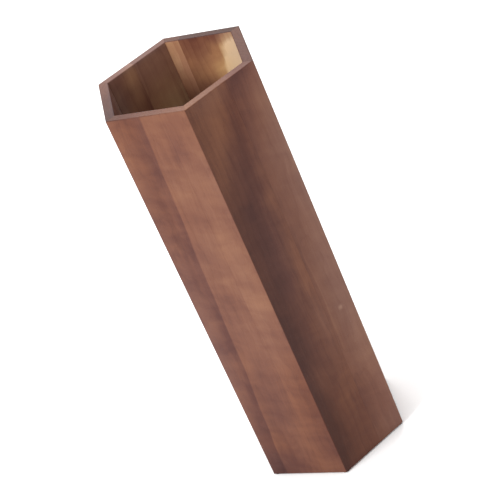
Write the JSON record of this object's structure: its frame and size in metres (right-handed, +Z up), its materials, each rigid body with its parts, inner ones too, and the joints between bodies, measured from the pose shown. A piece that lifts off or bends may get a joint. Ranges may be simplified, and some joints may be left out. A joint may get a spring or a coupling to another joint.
{
  "type": "umbrella stand",
  "caption": "Tall hexagonal umbrella stand of mitred wooden panels glued up from staves, open at the top, with a base board in a groove and a lift-out drip tray.",
  "frame": {"origin": "on the floor, under the middle of the hexagonal tube", "axes": "+Z up along the tube, -Y towards the front corner, +X towards the right panel's outer face"},
  "size_m": [0.162, 0.1866, 0.5015],
  "materials": {
    "stained_stave": "satin stained hardwood",
    "honey_stave": "satin, lighter stave",
    "spline": "bare wood",
    "base_board": "satin plywood",
    "drip_tray": "fine grained",
    "floor_pad": "matt"
  },
  "bodies": {
    "stand": {"front_right_panel_left_stave": "stained_stave", "front_right_panel_right_stave": "stained_stave", "right_panel_left_stave": "stained_stave", "right_panel_right_stave": "stained_stave", "back_right_panel_left_stave": "stained_stave", "back_right_panel_right_stave": "honey_stave", "back_left_panel_left_stave": "stained_stave", "back_left_panel_right_stave": "stained_stave", "left_panel_left_stave": "stained_stave", "left_panel_right_stave": "stained_stave", "front_left_panel_left_stave": "stained_stave", "front_left_panel_right_stave": "stained_stave", "front_corner_spline": "spline", "front_right_corner_spline": "spline", "back_right_corner_spline": "spline", "back_corner_spline": "spline", "back_left_corner_spline": "spline", "front_left_corner_spline": "spline", "base_board": "base_board", "front_floor_pad": "floor_pad", "front_right_floor_pad": "floor_pad", "back_right_floor_pad": "floor_pad", "back_floor_pad": "floor_pad", "back_left_floor_pad": "floor_pad", "front_left_floor_pad": "floor_pad"},
    "tray": {"drip_tray": "drip_tray"}
  },
  "joints": [
    {"name": "tray_lift", "type": "slide", "parent": "stand", "child": "tray", "axis": [0, 0, 1], "range_m": [0, 0.49]}
  ]
}
